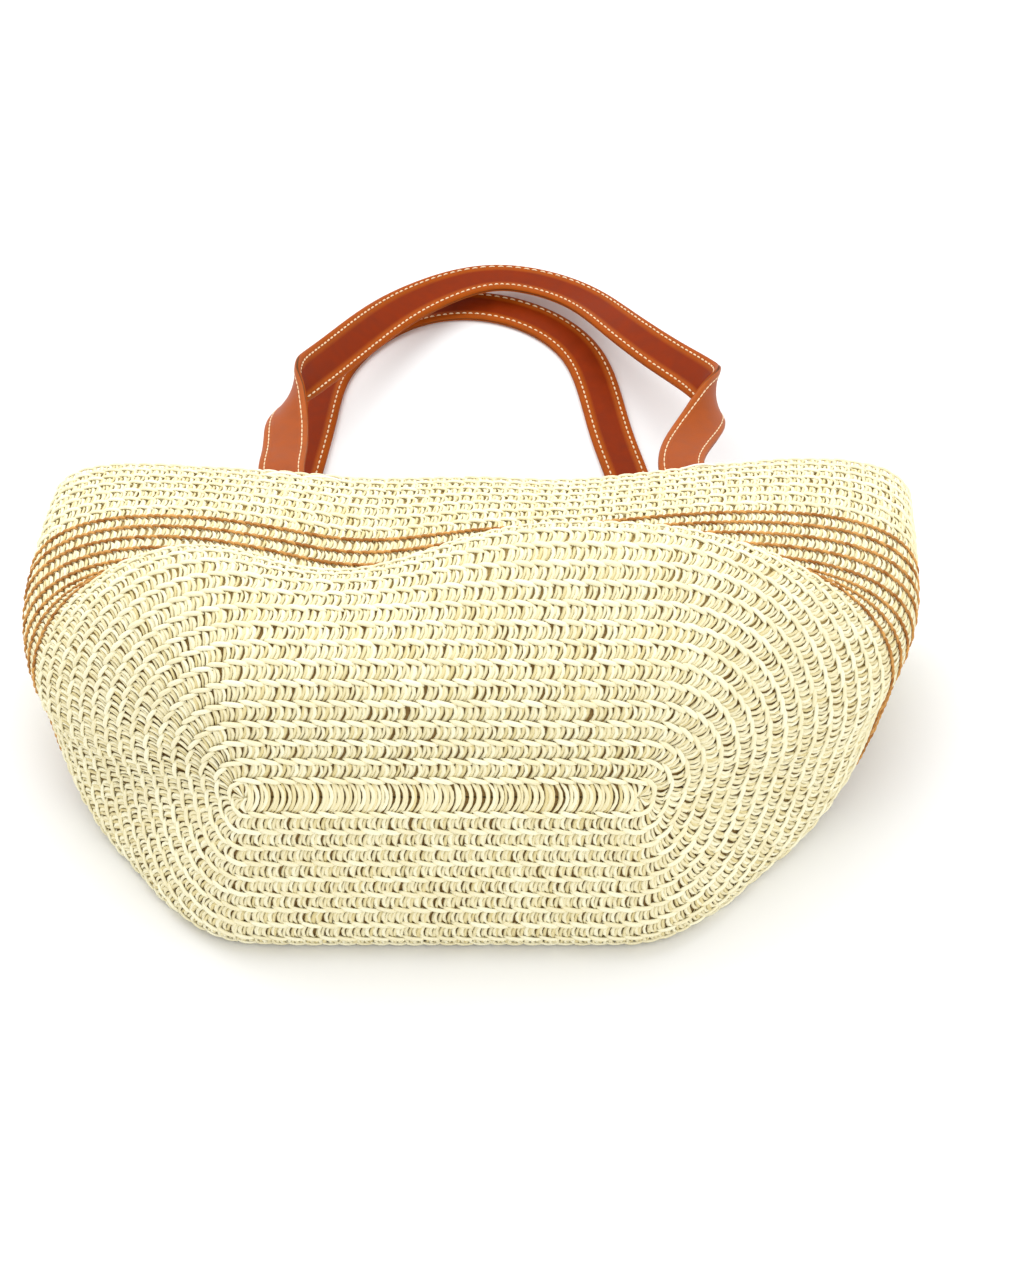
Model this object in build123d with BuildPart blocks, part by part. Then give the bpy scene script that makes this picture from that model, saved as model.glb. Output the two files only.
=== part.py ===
from build123d import *
import math
import os

# Beach tote of plaited paper straw, lying on its back wall with the mouth towards +Y.
# +Z is up from the ground, the oval base faces -Y, and +X is to the right.
# All sizes are millimetres.

# ---------------------------------------------------------------- driving dimensions
row_pitch = 9.7             # one row of plait
plait = 3.0                 # thickness of the plaited wall
lining_cloth = 0.8          # thickness of the lining
lining_gap = 11.0           # from the wall's outside to the lining's outside
row_tilt = 22.0             # the rows lean back from upright by this angle

strip_length = 206.0        # first straight length of plait, about which the coil winds
strip_height = 98.0         # height of that strip above the ground
nose = -27.0                # where the strip's plane meets the ground
base_edge = 20.0            # plane in which the base turns into the wall
stripe_start = 66.0         # plane of the first two-coloured row
stripe_rows = 8
rim = 207.0                 # plane of the rim
rim_rows = 1.0
dent_x = -60.0              # the front wall sags here
dent_width = 55.0
swell_x = 70.0              # and swells here
swell_width = 80.0
roundness = 3.0             # exponent of the rounded outlines, above the widest line
foot_roundness = 4.0        # and below it, where the wall lies flat on the ground
outline_points = 28

strap_width = 25.0
strap_face = 1.2            # one leather-look face
strap_core = 0.5            # filler between the two faces
layer_gap = 0.12
tab_length = 30.0           # sewn-in end of a strap inside the wall
hinge_gap = 1.6             # bare length of strap left on each side of its bending line
# Bending line of each strap's left and right ends, and the slope of the wall there.
front_left = ((-99, 247.6, 86.8), -17.0)
front_right = ((118, 252.6, 92.3), -20.4)
back_left = ((-108, 210.5, 6.9), 0.0)
back_right = ((112, 210.5, 6.9), 0.0)
thread_bar = 24.0           # white sewing thread outside the front wall
thread_radius = 0.5
thread_drop = 14.0          # from the rim down the wall
thread_lift = 8.8           # over the middle of the strap's end inside
rest_cut = 1.3              # the wall's underside is pressed flat by this much

origin_x = 9.143              # the origin is under the middle of everything
origin_y = 264.871

stripe_end = stripe_start + stripe_rows * row_pitch
rim_row_start = rim - rim_rows * row_pitch
strap_half = strap_core / 2 + layer_gap + strap_face

# Outlines of the wall, plane by plane: the plane's distance along the ground, middle,
# half width, bottom, top, height of the widest line, depth of the dent, height of the swell.
wall_sections = [
    (nose, -9, 101, 96, 115, 105, 0, 0),
    (-24, -9, 106, 84, 125, 105, 0, 0),
    (-18, -9, 118, 58, 150, 103, 0, 0),
    (-8, -8, 134, 19, 166, 98, 0, 0),
    (base_edge - 20, -7, 146, 7, 172, 92, 2, 3),
    (base_edge, -5, 166, -rest_cut, 180, 82, 9, 16),
    (45, -4, 189, -rest_cut, 178, 84, 13, 17),
    (stripe_start, -3, 207, -rest_cut, 166, 84, 15, 10),
    (85, -1, 217, -rest_cut, 149, 84, 17, 12),
    (105, 1, 225, -rest_cut, 136, 86, 19, 10),
    (125, 4, 229, -rest_cut, 131, 88, 18, 8),
    (stripe_end, 5, 231, -rest_cut, 127, 90, 17, 6),
    (175, 8, 232, -rest_cut, 119, 92, 12, 3),
    (rim, 10, 233, -rest_cut, 107, 90, 8, 2),
]


def blend_sections(distance):
    """The outline's sizes at any plane, between the listed planes."""
    for low, high in zip(wall_sections, wall_sections[1:]):
        if distance <= high[0]:
            share = (distance - low[0]) / (high[0] - low[0])
            return [a + (b - a) * share for a, b in zip(low, high)]
    return list(wall_sections[-1])


def row_plane(distance):
    """Plane of a row: it meets the ground at this distance and leans back by row_tilt."""
    lean = math.radians(row_tilt)
    return Plane(origin=(0, distance, 0), x_dir=(1, 0, 0), z_dir=(0, -math.cos(lean), math.sin(lean)))


def wall_outline(distance, inset):
    """Points of the closed outline in a row's plane, moved inwards by inset."""
    _, middle, half, bottom, top, waist, dent, swell = blend_sections(distance)
    half = half - inset
    points = []
    for i in range(outline_points):
        angle = 2 * math.pi * i / outline_points
        power = 2 / (roundness if math.sin(angle) >= 0 else foot_roundness)
        across = math.copysign(abs(math.cos(angle)) ** power, math.cos(angle))
        x = middle + half * across
        rise = abs(math.sin(angle)) ** power
        if math.sin(angle) >= 0:
            sag = dent * math.exp(-(((x - dent_x) / dent_width) ** 2))
            lift = swell * math.exp(-(((x - swell_x) / swell_width) ** 2))
            y = waist + (top - inset - waist - sag + lift) * rise
        else:
            y = waist - (waist - bottom - inset) * rise
        points.append((x, y))
    return points


def planes_between(start, end):
    """The listed planes from start to end, with both ends."""
    listed = {s[0] for s in wall_sections}
    listed |= {stripe_start + number * row_pitch for number in range(stripe_rows + 1)}
    return [start] + sorted(d for d in listed if start + 0.5 < d < end - 0.5) + [end]


def wall_band(start, end, outer_inset=0.0, thickness=plait):
    """A ring of wall between two row planes."""
    with BuildPart() as band:
        for distance in planes_between(start, end):
            with BuildSketch(row_plane(distance)):
                with BuildLine():
                    Spline(*wall_outline(distance, outer_inset), periodic=True)
                make_face()
        loft(ruled=True)
        for distance in planes_between(start, end):
            with BuildSketch(row_plane(distance)):
                with BuildLine():
                    Spline(*wall_outline(distance, outer_inset + thickness), periodic=True)
                make_face()
        loft(ruled=True, mode=Mode.SUBTRACT)
        with BuildSketch(Plane.XY):
            Rectangle(800, 1200)
        extrude(amount=-20, mode=Mode.SUBTRACT)
    return band


def base_dome(start_shift, outer_inset, end):
    """Levels of the closed base: each listed plane, where it moves to, and its inset."""
    levels = []
    for distance in planes_between(nose, end):
        fade = (end - distance) / (end - nose)
        levels.append((distance, distance + start_shift * fade, outer_inset * (1 - 0.75 * fade**2)))
    return levels


def dome(end, inset, shift, thickness):
    """The base as a bowl of even thickness, closed at its nose."""
    with BuildPart() as bowl:
        for listed, moved, edge in base_dome(shift, inset, end):
            with BuildSketch(row_plane(moved)):
                with BuildLine():
                    Spline(*wall_outline(listed, edge), periodic=True)
                make_face()
        loft(ruled=True)
        for listed, moved, edge in base_dome(shift + thickness, inset + thickness, end):
            with BuildSketch(row_plane(moved)):
                with BuildLine():
                    Spline(*wall_outline(listed, edge), periodic=True)
                make_face()
        loft(ruled=True, mode=Mode.SUBTRACT)
    return bowl


# ---------------------------------------------------------------- straw body
strip_middle = wall_sections[0][1]
strip_q = strip_height / math.cos(math.radians(row_tilt))

base_coil = dome(base_edge, 0.0, 0.0, plait)
with BuildPart() as strip_cutter:
    with BuildSketch(row_plane(nose)):
        with Locations((strip_middle, strip_q)):
            SlotOverall(strip_length + 0.4, row_pitch * 1.4 + 0.4)
    extrude(amount=3 * plait, both=True)
with BuildPart() as coil:
    add(base_coil.part)
    add(strip_cutter.part, mode=Mode.SUBTRACT)
    with BuildSketch(Plane.XY):
        Rectangle(800, 1200)
    extrude(amount=-20, mode=Mode.SUBTRACT)

with BuildPart() as centre_strip:
    with BuildSketch(row_plane(nose)):
        with Locations((strip_middle, strip_q)):
            SlotOverall(strip_length, row_pitch * 1.4)
    extrude(amount=-plait)

bands = {"lower_wall_coil": (base_edge, stripe_start)}
for number in range(stripe_rows):
    first = stripe_start + number * row_pitch
    bands[f"stripe_row_{number + 1}"] = (first, first + row_pitch)
bands["upper_wall_coil"] = (stripe_end, rim_row_start)
bands["rim_row"] = (rim_row_start, rim)
walls = {name: wall_band(first, last) for name, (first, last) in bands.items()}

# ---------------------------------------------------------------- lining and pocket
lining_base = dome(base_edge, lining_gap, lining_gap, lining_cloth)
lining_wall = wall_band(base_edge + 0.3, rim_row_start, lining_gap, lining_cloth)

pocket_width = 180.0
pocket_depth = 110.0
pocket_cloth = 0.8
with BuildPart() as inner_pocket:
    with BuildSketch(Plane.XY.offset(lining_gap + 1.8)):
        with Locations((5, rim - 50 - pocket_depth / 2)):
            RectangleRounded(pocket_width, pocket_depth, 6)
    extrude(amount=pocket_cloth)

# ---------------------------------------------------------------- handles
# Middle line of each strap from its left bending line to its right one.
back_route = [
    (-108, 213, 6.6), (-107, 250, 2.6), (-104, 300, 2.0), (-98, 350, 2.0), (-91, 400, 2.0),
    (-84, 440, 2.0), (-66, 472, 2.0), (-36, 497, 2.0), (2, 504, 2.0), (38, 491, 2.0),
    (64, 463, 2.0), (76, 425, 2.0), (83, 385, 2.0), (92, 345, 2.0), (101, 295, 2.0),
    (108, 250, 2.6), (112, 213, 6.6),
]
front_route = [
    (-99, 250, 86.3), (-100, 285, 79), (-101, 322, 71), (-99, 352, 64), (-84, 393, 50),
    (-58, 447, 33), (-22, 498, 18), (17, 518, 13), (50, 508, 14), (88, 454, 30),
    (117, 405, 43), (136, 368, 56), (142, 344, 66), (132, 300, 78), (118.6, 255, 91.5),
]
# Turn of the front strap about its own middle line, at shares of its length. It shows
# its outer face on the legs and its inner face along the arch.
front_turn = [
    (0.0, 0), (0.08, -10), (0.13, -45), (0.165, -95), (0.2, -128), (0.3, -146), (0.42, -172),
    (0.5, -184), (0.6, -178), (0.7, -166), (0.78, -150), (0.825, -100), (0.86, -50), (0.92, -12), (1.0, 0),
]
# The back strap lies with its outer face down.
back_turn = [(0.0, 180), (1.0, 180)]
strap_stations = 36


def joined(table, share):
    """Value of a table of (share, value) pairs, joined by straight lines."""
    for (low, start), (high, end) in zip(table, table[1:]):
        if share <= high:
            step = (share - low) / (high - low)
            return start + (end - start) * step
    return table[-1][1]


def strap_frames(route, turns):
    """Middle, direction across and face direction at even steps along a strap."""
    with BuildLine() as line:
        Spline(*route)
    edge = line.edges()[0]
    frames = []
    for i in range(strap_stations + 1):
        share = i / strap_stations
        middle = edge @ share
        along = edge % share
        up = Vector(0, 0, 1)
        up = (up - along * up.dot(along)).normalized()
        across = up.cross(along)
        turn = math.radians(joined(turns, share))
        across = across * math.cos(turn) + along.cross(across) * math.sin(turn)
        face = along.cross(across)
        frames.append((middle, across, face))
    return frames


def strap_layer(frames, low, thickness, width=strap_width):
    """A ribbon between two heights over the strap's middle surface."""
    with BuildPart() as layer:
        for centre, across, face in frames:
            middle = centre + face * (low + thickness / 2)
            with BuildSketch(Plane(origin=middle, x_dir=across, z_dir=across.cross(face))):
                Rectangle(width, thickness)
        loft()
    return layer


def strap_pieces(route, turns):
    """Outer face, filler and inner face of a strap."""
    frames = strap_frames(route, turns)
    outer = strap_layer(frames, strap_core / 2 + layer_gap, strap_face)
    core = strap_layer(frames, -strap_core / 2, strap_core, strap_width - 4)
    inner = strap_layer(frames, -strap_core / 2 - layer_gap - strap_face, strap_face)
    return outer, core, inner


def strap_tab(end):
    """Sewn-in end of a strap, from its bending line back along the inside of the wall."""
    origin, slope = end
    lean = math.radians(slope)
    seat = Plane(origin=origin, x_dir=(1, 0, 0), z_dir=(0, -math.sin(lean), math.cos(lean)))
    with BuildPart() as tab:
        with BuildSketch(seat):
            with Locations((0, -hinge_gap - tab_length / 2)):
                Rectangle(strap_width, tab_length)
        extrude(amount=strap_half, both=True)
    return tab


front_outer, front_core, front_inner = strap_pieces(front_route, front_turn)
back_outer, back_core, back_inner = strap_pieces(back_route, back_turn)

tabs = {
    "front_left_tab": strap_tab(front_left),
    "front_right_tab": strap_tab(front_right),
    "back_left_tab": strap_tab(back_left),
    "back_right_tab": strap_tab(back_right),
}

# White thread that ties the front strap's ends through the wall, on its outside.
with BuildPart() as thread_bars:
    for (x, y, z), slope in (front_left, front_right):
        lean = math.radians(slope)
        back = thread_drop + hinge_gap
        middle = Vector(
            x,
            y - back * math.cos(lean) - thread_lift * math.sin(lean),
            z - back * math.sin(lean) + thread_lift * math.cos(lean),
        )
        with BuildSketch(Plane(origin=middle, x_dir=(0, 1, 0), z_dir=(1, 0, 0))):
            Circle(thread_radius)
        extrude(amount=thread_bar / 2, both=True)

# ---------------------------------------------------------------- output
pieces = {
    "centre_strip": centre_strip,
    "base_coil": coil,
    "lining_base": lining_base,
    "lining_wall": lining_wall,
    "inner_pocket": inner_pocket,
    "front_strap_outer": front_outer,
    "front_strap_core": front_core,
    "front_strap_inner": front_inner,
    "back_strap_outer": back_outer,
    "back_strap_core": back_core,
    "back_strap_inner": back_inner,
}
pieces["front_thread_bars"] = thread_bars
pieces.update(walls)
pieces.update(tabs)

os.makedirs("parts", exist_ok=True)
for name, piece in pieces.items():
    placed = piece.part.moved(Location((-origin_x, -origin_y, 0)))
    placed.label = name
    export_step(placed, f"parts/{name}.step")
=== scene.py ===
"""Looks of a plaited beach tote that lies on its back wall with its handles laid out.

The bag is a coil of plaited paper straw. One smooth surface gives its shape, and every strand
and every sewn edge of the plait is a small solid of its own, carried by that surface. The
handles are stitched straps of two faces and a filler, carried along twisting ribbons.
"""

import logging
import math
from dataclasses import dataclass
from enum import Enum
from typing import Protocol, Sequence

import bpy
import numpy as np
from mathutils import Matrix, Vector


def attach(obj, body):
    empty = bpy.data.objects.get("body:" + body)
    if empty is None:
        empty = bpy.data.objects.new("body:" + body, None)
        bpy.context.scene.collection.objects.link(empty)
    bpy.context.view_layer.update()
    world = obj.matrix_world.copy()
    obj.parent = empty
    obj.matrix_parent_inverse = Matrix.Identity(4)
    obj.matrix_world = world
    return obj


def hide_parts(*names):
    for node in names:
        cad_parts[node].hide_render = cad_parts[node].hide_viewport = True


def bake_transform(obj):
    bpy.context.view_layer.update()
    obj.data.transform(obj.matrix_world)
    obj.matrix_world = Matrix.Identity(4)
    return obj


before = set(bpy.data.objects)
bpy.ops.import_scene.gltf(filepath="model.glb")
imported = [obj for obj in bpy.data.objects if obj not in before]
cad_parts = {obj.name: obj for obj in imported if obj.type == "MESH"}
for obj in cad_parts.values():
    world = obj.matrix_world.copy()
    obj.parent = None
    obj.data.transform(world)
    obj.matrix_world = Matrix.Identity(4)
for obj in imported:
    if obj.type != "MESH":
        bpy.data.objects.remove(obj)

LOG = logging.getLogger("beach_tote")
MM = 0.001
ORIGIN = np.array([9.143, 264.871, 0.0])
GROUND = 0.25
SEED = 7


class Side(Enum):
    """The side of a wall or strap that a piece is laid on."""

    OUTSIDE = 1.0
    INSIDE = -1.0


# ---------------------------------------------------------------- colour and material helpers
def linear(code: str) -> tuple[float, float, float, float]:
    """Linear colour of an sRGB hex code.

    Args:
        code: Six hex digits.

    Returns:
        Red, green, blue and alpha.
    """
    parts = [int(code[i : i + 2], 16) / 255 for i in (0, 2, 4)]
    shares = [p / 12.92 if p <= 0.04045 else ((p + 0.055) / 1.055) ** 2.4 for p in parts]
    return (*shares, 1.0)


def add_node(
    tree: bpy.types.NodeTree, kind: str, settings: dict | None = None, inputs: dict | None = None
) -> bpy.types.Node:
    """Adds a node with its settings, values and links.

    Args:
        tree: The node tree.
        kind: The node's type name.
        settings: Attribute names and values.
        inputs: Input names or numbers, each with a value or a socket to link from.

    Returns:
        The new node.
    """
    node = tree.nodes.new(kind)
    for name, value in (settings or {}).items():
        setattr(node, name, value)
    for name, value in (inputs or {}).items():
        if isinstance(value, bpy.types.NodeSocket):
            tree.links.new(value, node.inputs[name])
        else:
            node.inputs[name].default_value = value
    return node


def new_material(name: str) -> tuple[bpy.types.Material, bpy.types.NodeTree, bpy.types.Node]:
    """A node material with its shader, ready for a finish to fill in.

    Args:
        name: Its name.

    Returns:
        The material, its node tree and its shader node.
    """
    material = bpy.data.materials.new(name)
    material.use_nodes = True
    tree = material.node_tree
    return material, tree, tree.nodes["Principled BSDF"]


def mix(tree: bpy.types.NodeTree, share: bpy.types.NodeSocket, light: str, dark: str) -> bpy.types.Node:
    """A blend of two sRGB hex colours: light times one less the share, plus dark times the share."""
    ends = {"Factor": share, "A": linear(light), "B": linear(dark)}
    return add_node(tree, "ShaderNodeMix", {"data_type": "RGBA"}, ends)


def relief(
    tree: bpy.types.NodeTree, height: bpy.types.NodeSocket, strength: float, distance: float
) -> bpy.types.Node:
    """Fine relief from a height, with its depth in metres."""
    values = {"Height": height, "Strength": strength, "Distance": distance}
    return add_node(tree, "ShaderNodeBump", inputs=values)


@dataclass(frozen=True)
class StrawFinish:
    """Matt twisted paper, with fine creases along each strand."""

    name: str
    light: str
    dark: str
    roughness: float = 0.8
    crease_depth: float = 0.00012

    def material(self) -> bpy.types.Material:
        """The material: strands differ in tone, and creases run along them."""
        material, tree, shader = new_material(self.name)
        tone = add_node(tree, "ShaderNodeAttribute", {"attribute_name": "tone"})
        place = add_node(tree, "ShaderNodeUVMap", {"uv_map": "mm"})
        along = add_node(
            tree, "ShaderNodeMapping", inputs={"Vector": place.outputs["UV"], "Scale": (0.22, 2.6, 1.0)}
        )
        creases = add_node(
            tree,
            "ShaderNodeTexNoise",
            inputs={"Vector": along.outputs["Vector"], "Scale": 1.0, "Detail": 4.0},
        )
        blend = add_node(
            tree,
            "ShaderNodeMath",
            {"operation": "MULTIPLY_ADD"},
            {0: creases.outputs["Fac"], 1: 0.7, 2: -0.35},
        )
        share = add_node(
            tree,
            "ShaderNodeMath",
            {"operation": "ADD", "use_clamp": True},
            {0: tone.outputs["Fac"], 1: blend.outputs[0]},
        )
        colour = mix(tree, share.outputs[0], self.light, self.dark)
        bump = relief(tree, creases.outputs["Fac"], 0.6, self.crease_depth)
        shader.inputs["Roughness"].default_value = self.roughness
        tree.links.new(colour.outputs["Result"], shader.inputs["Base Color"])
        tree.links.new(bump.outputs["Normal"], shader.inputs["Normal"])
        return material


@dataclass(frozen=True)
class LeatherFinish:
    """Leather-look strap face: a centre panel between two rolled margins, with the margins painted lighter
    as light caught by their roll and the centre painted darker as shade.
    """

    name: str
    margin: str
    centre: str
    edge: float
    roughness: float = 0.45
    gloss: float = 0.2

    def material(self) -> bpy.types.Material:
        """The material: two tones across the strap, a fine grain, and soft sheen patches that vary the
        roughness and are painted into the colour as lighter and darker patches.
        """
        material, tree, shader = new_material(self.name)
        place = add_node(tree, "ShaderNodeUVMap", {"uv_map": "mm"})
        parts = add_node(tree, "ShaderNodeSeparateXYZ", inputs={0: place.outputs["UV"]})
        sheen_patches = add_node(
            tree, "ShaderNodeTexNoise", inputs={"Vector": place.outputs["UV"], "Scale": 0.12, "Detail": 3.0}
        )
        grain = add_node(
            tree, "ShaderNodeTexVoronoi", inputs={"Vector": place.outputs["UV"], "Scale": 1.7}
        )
        far = add_node(tree, "ShaderNodeMath", {"operation": "ABSOLUTE"}, {0: parts.outputs["Y"]})
        share = add_node(
            tree,
            "ShaderNodeMapRange",
            inputs={"Value": far.outputs[0], "From Min": self.edge - 1.1, "From Max": self.edge + 1.1},
        )
        # Painted light: the margins are coloured lighter where the rolled edges catch the light, and the
        # centre darker as painted shade.
        colour = mix(tree, share.outputs["Result"], self.centre, self.margin)
        tint = add_node(
            tree,
            "ShaderNodeHueSaturation",
            inputs={"Color": colour.outputs["Result"]},
        )
        # Painted sheen: the sheen patches also lighten and darken the colour.
        value = add_node(
            tree,
            "ShaderNodeMapRange",
            inputs={"Value": sheen_patches.outputs["Fac"], "To Min": 0.8, "To Max": 1.2},
        )
        rough = add_node(
            tree,
            "ShaderNodeMapRange",
            inputs={
                "Value": sheen_patches.outputs["Fac"],
                "To Min": self.roughness - 0.1,
                "To Max": self.roughness + 0.16,
            },
        )
        bump = relief(tree, grain.outputs["Distance"], 0.25, 0.00012)
        shader.inputs["Specular IOR Level"].default_value = self.gloss
        tree.links.new(value.outputs["Result"], tint.inputs["Value"])
        tree.links.new(tint.outputs["Color"], shader.inputs["Base Color"])
        tree.links.new(rough.outputs["Result"], shader.inputs["Roughness"])
        tree.links.new(bump.outputs["Normal"], shader.inputs["Normal"])
        return material


@dataclass(frozen=True)
class ClothFinish:
    """Plain woven cloth, with its threads about half a millimetre apart."""

    name: str
    colour: str
    shade: str
    thread: float = 0.55

    def material(self) -> bpy.types.Material:
        """The material: crossing threads in relief, painted shade darkening the colour between them, and a
        little uneven dye.
        """
        material, tree, shader = new_material(self.name)
        place = add_node(tree, "ShaderNodeUVMap", {"uv_map": "mm"})
        waves = [
            add_node(
                tree,
                "ShaderNodeTexWave",
                {"bands_direction": way},
                {"Vector": place.outputs["UV"], "Scale": 0.314 / self.thread, "Distortion": 0.4},
            )
            for way in ("X", "Y")
        ]
        weave = add_node(
            tree,
            "ShaderNodeMath",
            {"operation": "MULTIPLY"},
            {0: waves[0].outputs["Fac"], 1: waves[1].outputs["Fac"]},
        )
        dye = add_node(
            tree,
            "ShaderNodeTexNoise",
            inputs={"Vector": place.outputs["UV"], "Scale": 0.05, "Detail": 4.0},
        )
        # Painted shade: the colour darkens where the relief sinks between the threads.
        share = add_node(
            tree,
            "ShaderNodeMath",
            {"operation": "MULTIPLY_ADD", "use_clamp": True},
            {0: weave.outputs[0], 1: -0.45, 2: dye.outputs["Fac"]},
        )
        colour = mix(tree, share.outputs[0], self.colour, self.shade)
        bump = relief(tree, weave.outputs[0], 0.5, 0.0002)
        shader.inputs["Roughness"].default_value = 0.9
        tree.links.new(colour.outputs["Result"], shader.inputs["Base Color"])
        tree.links.new(bump.outputs["Normal"], shader.inputs["Normal"])
        return material


# ---------------------------------------------------------------- numbers and meshes
class Profile:
    """A smooth curve through knots that never overshoots them."""

    def __init__(self, knots: Sequence[float], values: Sequence[float]) -> None:
        """Works out the rate at each knot: the weighted harmonic mean of its two slopes."""
        self.knots = np.asarray(knots, float)
        self.values = np.asarray(values, float)
        step = np.diff(self.knots)
        slope = np.diff(self.values) / step
        near = 2 * step[1:] + step[:-1]
        far = step[1:] + 2 * step[:-1]
        level = slope[1:] * slope[:-1] <= 0
        before = np.where(level, 1.0, slope[:-1])
        after = np.where(level, 1.0, slope[1:])
        inner = np.where(level, 0.0, (near + far) / (near / before + far / after))
        self.rates = np.concatenate([slope[:1], inner, slope[-1:]])

    def __call__(self, x: np.ndarray) -> np.ndarray:
        """The curve's value at each x, held beyond its ends."""
        x = np.clip(x, self.knots[0], self.knots[-1])
        i = np.clip(np.searchsorted(self.knots, x) - 1, 0, len(self.knots) - 2)
        step = self.knots[i + 1] - self.knots[i]
        t = (x - self.knots[i]) / step
        rise = self.values[i + 1] - self.values[i]
        ease = t * t * (3 - 2 * t)
        lead = t * (1 - t) ** 2 * self.rates[i] - t * t * (1 - t) * self.rates[i + 1]
        return self.values[i] + rise * ease + step * lead


def unit(vectors: np.ndarray) -> np.ndarray:
    """The vectors at length one."""
    return vectors / np.maximum(np.linalg.norm(vectors, axis=-1, keepdims=True), 1e-9)


class Patch:
    """Points, faces and marks of one piece, gathered as whole arrays in millimetres."""

    def __init__(self) -> None:
        """Starts with nothing in it."""
        self.points: list[np.ndarray] = []
        self.faces: list[tuple[np.ndarray, int]] = []
        self.marks: list[np.ndarray] = []
        self.tones: list[np.ndarray] = []
        self.count = 0

    def add(
        self,
        points: np.ndarray,
        faces: Sequence[np.ndarray],
        marks: np.ndarray,
        tones: np.ndarray | float = 0.5,
        finish: int = 0,
    ) -> None:
        """Adds points and the faces between them.

        Args:
            points: One row of x, y, z per point.
            faces: Arrays of point numbers, one row per face.
            marks: Millimetres along and across the piece at each point.
            tones: Tone of each point, from light to dark.
            finish: Which of the piece's finishes the faces take.
        """
        points = points.reshape(-1, 3)
        self.points.append(points)
        self.faces += [(f.reshape(-1, f.shape[-1]) + self.count, finish) for f in faces]
        self.marks.append(marks.reshape(-1, 2))
        self.tones.append(np.broadcast_to(np.asarray(tones, float).reshape(-1), (len(points),)))
        self.count += len(points)

    def build(self, name: str, *finishes: bpy.types.Material) -> bpy.types.Object:
        """Makes the piece.

        Args:
            name: The piece's name.
            finishes: Its materials, in the order of the finish numbers.

        Returns:
            The new mesh object, at the origin and with its place in its mesh.
        """
        points = np.concatenate(self.points)
        points[:, 2] = np.maximum(points[:, 2], GROUND)
        points = (points - ORIGIN) * MM
        corners = np.concatenate([f.reshape(-1) for f, _ in self.faces]).astype(np.int32)
        totals = np.concatenate([np.full(len(f), f.shape[1]) for f, _ in self.faces]).astype(np.int32)
        finish = np.concatenate([np.full(len(f), m) for f, m in self.faces]).astype(np.int32)
        starts = np.concatenate([[0], np.cumsum(totals)[:-1]]).astype(np.int32)
        mesh = bpy.data.meshes.new(name)
        mesh.vertices.add(len(points))
        mesh.vertices.foreach_set("co", points.astype(np.float32).ravel())
        mesh.loops.add(len(corners))
        mesh.loops.foreach_set("vertex_index", corners)
        mesh.polygons.add(len(totals))
        mesh.polygons.foreach_set("loop_start", starts)
        mesh.polygons.foreach_set("material_index", finish)
        mesh.polygons.foreach_set("use_smooth", np.ones(len(totals), bool))
        mesh.update(calc_edges=True)
        marks = np.concatenate(self.marks)[corners]
        mesh.uv_layers.new(name="mm").data.foreach_set("uv", marks.astype(np.float32).ravel())
        tone = mesh.attributes.new("tone", "FLOAT", "POINT")
        tone.data.foreach_set("value", np.concatenate(self.tones).astype(np.float32))
        mesh.validate()
        for material in finishes:
            mesh.materials.append(material)
        piece = bpy.data.objects.new(name, mesh)
        bpy.context.scene.collection.objects.link(piece)
        return piece


def grid_faces(rows: int, columns: int, closed: bool = False) -> np.ndarray:
    """Four-cornered faces of a grid of points.

    Args:
        rows: Points one way.
        columns: Points the other way.
        closed: Whether the columns close into rings.

    Returns:
        Point numbers, one row per face.
    """
    i = np.arange(rows - 1)[:, None]
    j = np.arange(columns if closed else columns - 1)[None, :]
    k = (j + 1) % columns
    corners = [i * columns + j, i * columns + k, (i + 1) * columns + k, (i + 1) * columns + j]
    return np.stack([np.broadcast_to(c, (rows - 1, j.shape[1])) for c in corners], -1).reshape(-1, 4)


class Carrier(Protocol):
    """A surface that carries pieces: it turns along, across and height into space."""

    def carry(self, along: np.ndarray, across: np.ndarray, height: np.ndarray) -> np.ndarray:
        """Points in space, in millimetres."""


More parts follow.
